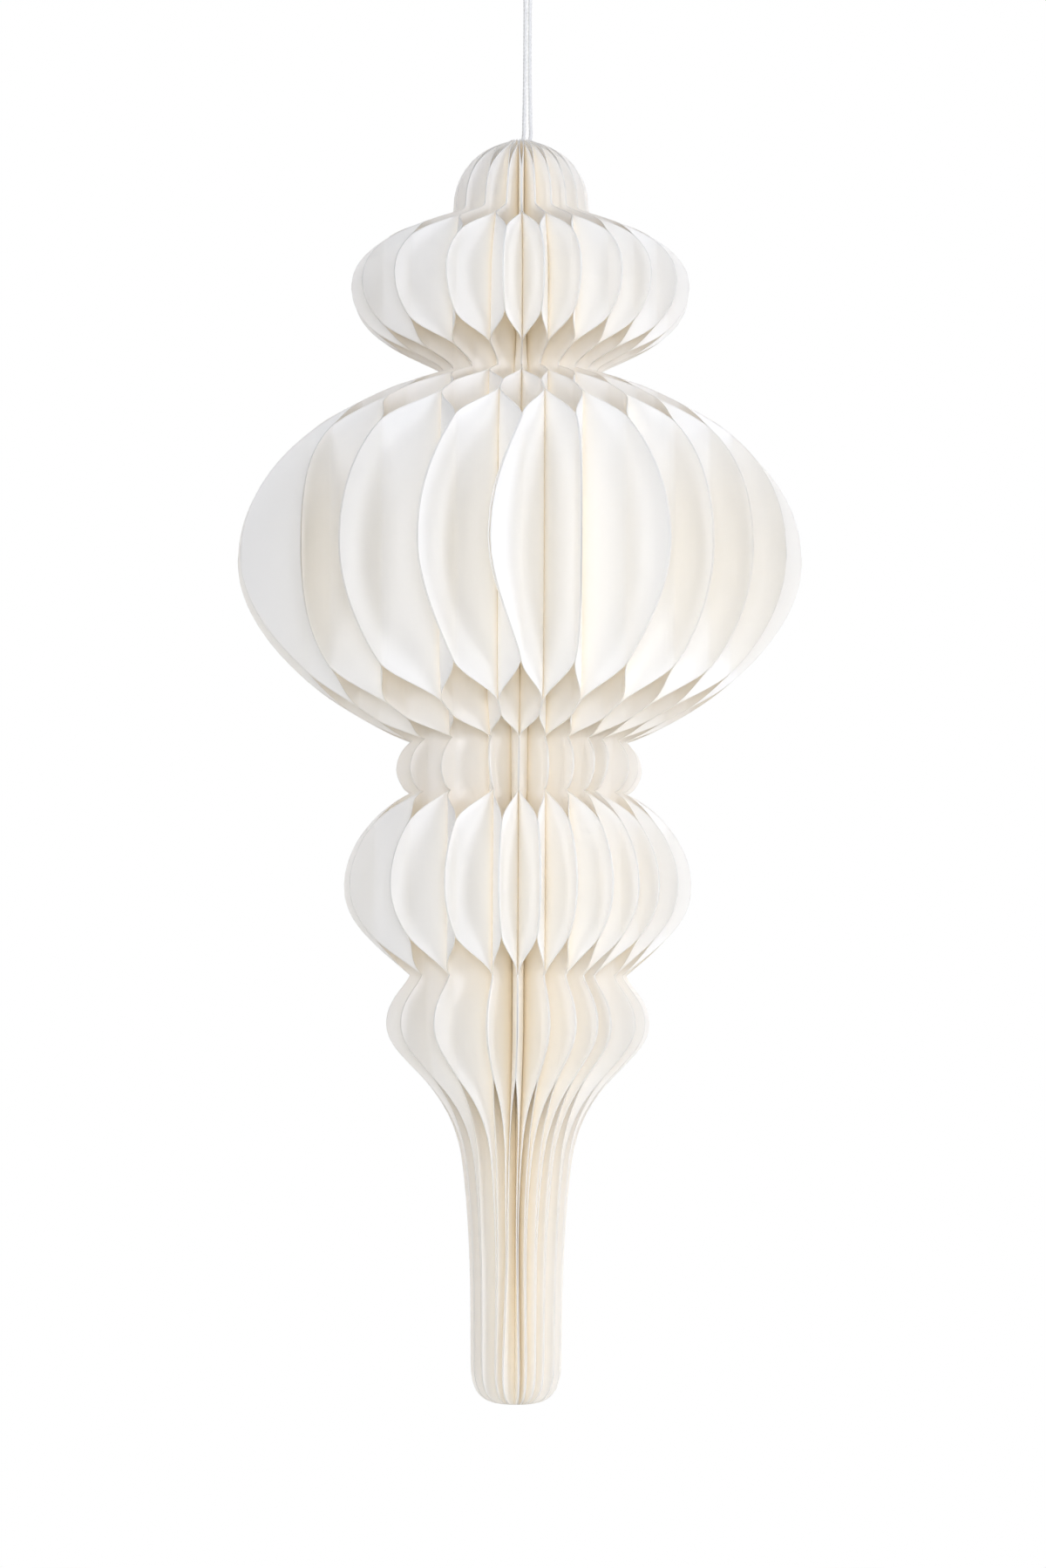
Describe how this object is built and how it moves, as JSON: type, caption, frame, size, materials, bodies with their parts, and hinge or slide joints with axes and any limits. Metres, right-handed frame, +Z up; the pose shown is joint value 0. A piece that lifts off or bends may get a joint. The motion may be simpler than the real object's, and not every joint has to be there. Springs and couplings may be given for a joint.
{
  "type": "honeycomb paper decoration",
  "caption": "Hanging finial-shaped ornament of white cut-paper leaves that stand round a spine and open into honeycomb cells and fins, hung on a doubled cord.",
  "frame": {"origin": "where a hook bears inside the top of the cord's loop", "axes": "+Z up along the hanging line, -Y towards the front, +X to the right as seen from the front"},
  "size_m": [0.2679, 0.2656, 0.6879],
  "materials": {
    "paper": "matte uncoated white card",
    "cotton_cord": "matte twisted white cotton"
  },
  "bodies": {
    "root": {"leaf_01": "paper", "leaf_02": "paper", "leaf_03": "paper", "leaf_04": "paper", "leaf_05": "paper", "leaf_06": "paper", "leaf_07": "paper", "leaf_08": "paper", "leaf_09": "paper", "leaf_10": "paper", "leaf_11": "paper", "leaf_12": "paper", "leaf_13": "paper", "leaf_14": "paper", "leaf_15": "paper", "leaf_16": "paper", "leaf_17": "paper", "leaf_18": "paper", "leaf_19": "paper", "leaf_20": "paper", "leaf_21": "paper", "leaf_22": "paper", "leaf_23": "paper", "leaf_24": "paper", "leaf_25": "paper", "leaf_26": "paper", "leaf_27": "paper", "leaf_28": "paper", "leaf_29": "paper", "leaf_30": "paper", "leaf_31": "paper", "leaf_32": "paper", "leaf_33": "paper", "leaf_34": "paper", "leaf_35": "paper", "leaf_36": "paper", "leaf_37": "paper", "leaf_38": "paper", "leaf_39": "paper", "leaf_40": "paper", "leaf_41": "paper", "leaf_42": "paper", "leaf_43": "paper", "leaf_44": "paper", "hanging_cord": "cotton_cord", "cord_knot": "cotton_cord"}
  },
  "joints": []
}
